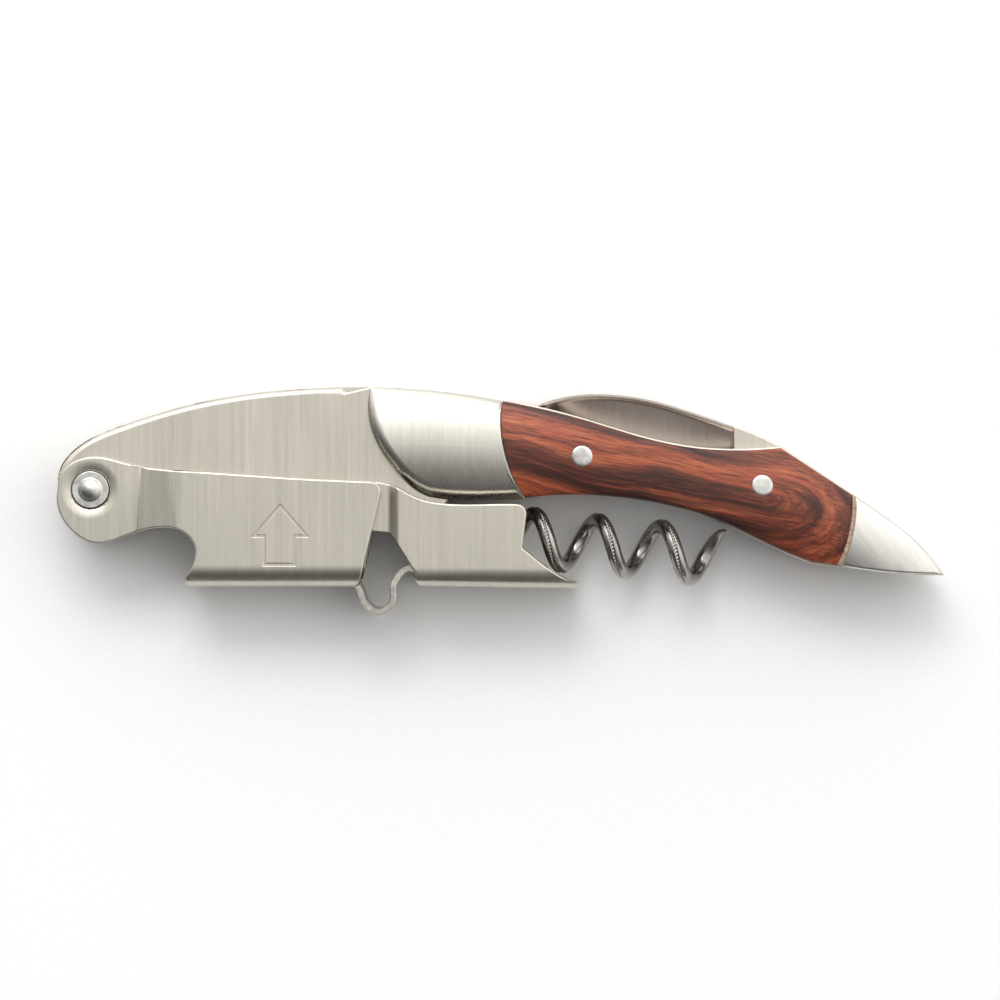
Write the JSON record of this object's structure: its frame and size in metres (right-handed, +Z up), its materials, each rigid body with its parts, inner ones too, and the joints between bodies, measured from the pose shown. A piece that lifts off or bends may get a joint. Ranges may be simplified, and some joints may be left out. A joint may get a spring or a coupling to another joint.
{
  "type": "waiter's corkscrew",
  "caption": "Folding waiter's corkscrew with a sprung two-part lever, an open-helix worm and a short foil knife in a steel and wood handle.",
  "frame": {"origin": "centre of the folded tool's outline, on the surface that it lies on", "axes": "+X along the handle from the lever rivet to the tail, +Y from the lever to the knife, +Z up through the thickness, away from the face it lies on"},
  "size_m": [0.1254, 0.0323, 0.0124],
  "materials": {
    "plate_steel": "satin, brushed across the handle",
    "lever_steel": "satin, brushed across the lever",
    "bolster_steel": "satin, brushed",
    "grip_wood": "oiled red-brown hardwood with dark streaks",
    "fibre": "vulcanised fibre, matt",
    "pin_steel": "satin",
    "washer_brass": "plain",
    "blade_steel": "hollow ground, brushed across the blade",
    "worm_steel": "dark bright plating with a knurled groove",
    "spring_steel": "tumbled spring steel"
  },
  "bodies": {
    "handle": {"side_plate_front": "plate_steel", "side_plate_back": "plate_steel", "neck_spacer": "plate_steel", "back_spring": "plate_steel", "tail_spacer": "plate_steel", "bolster_front": "bolster_steel", "bolster_back": "bolster_steel", "scale_front": "grip_wood", "scale_back": "grip_wood", "tip_spacer_front": "fibre", "tip_spacer_back": "fibre", "tail_tip_front": "bolster_steel", "tail_tip_back": "bolster_steel", "scale_pin": "pin_steel", "knife_pin": "pin_steel", "worm_pin": "pin_steel", "knife_washers": "washer_brass", "worm_washers": "washer_brass", "lever_washers": "washer_brass", "lever_rivet": "pin_steel"},
    "first_lever": {"lever_first": "lever_steel", "lever_spring": "spring_steel", "spring_rivets_first": "pin_steel"},
    "second_lever": {"lever_second": "lever_steel", "spring_rivets_second": "pin_steel"},
    "knife": {"knife_blade": "blade_steel"},
    "worm": {"worm": "worm_steel"}
  },
  "joints": [
    {"name": "lever_fold", "type": "hinge", "parent": "handle", "child": "first_lever", "pos_m": [-0.05795, 0.0016, 0.0062], "axis": [0, 0, -1], "range_deg": [0, 180]},
    {"name": "lever_flex", "type": "hinge", "parent": "first_lever", "child": "second_lever", "pos_m": [-0.0194, -0.0136, 0.0062], "axis": [0, 0, -1], "range_deg": [0, 35], "stiffness_Nm_per_rad": 0.4, "deforming": ["lever_spring"]},
    {"name": "knife_fold", "type": "hinge", "parent": "handle", "child": "knife", "pos_m": [0.0368, 0.0022, 0.0062], "axis": [0, 0, -1], "range_deg": [0, 140]},
    {"name": "worm_fold", "type": "hinge", "parent": "handle", "child": "worm", "pos_m": [-0.0108, -0.00384, 0.0062], "axis": [0, 0, -1], "range_deg": [0, 90]}
  ],
  "couplings": [
    {"joint": "worm_fold", "follows": "lever_fold", "ratio": 0.5}
  ]
}
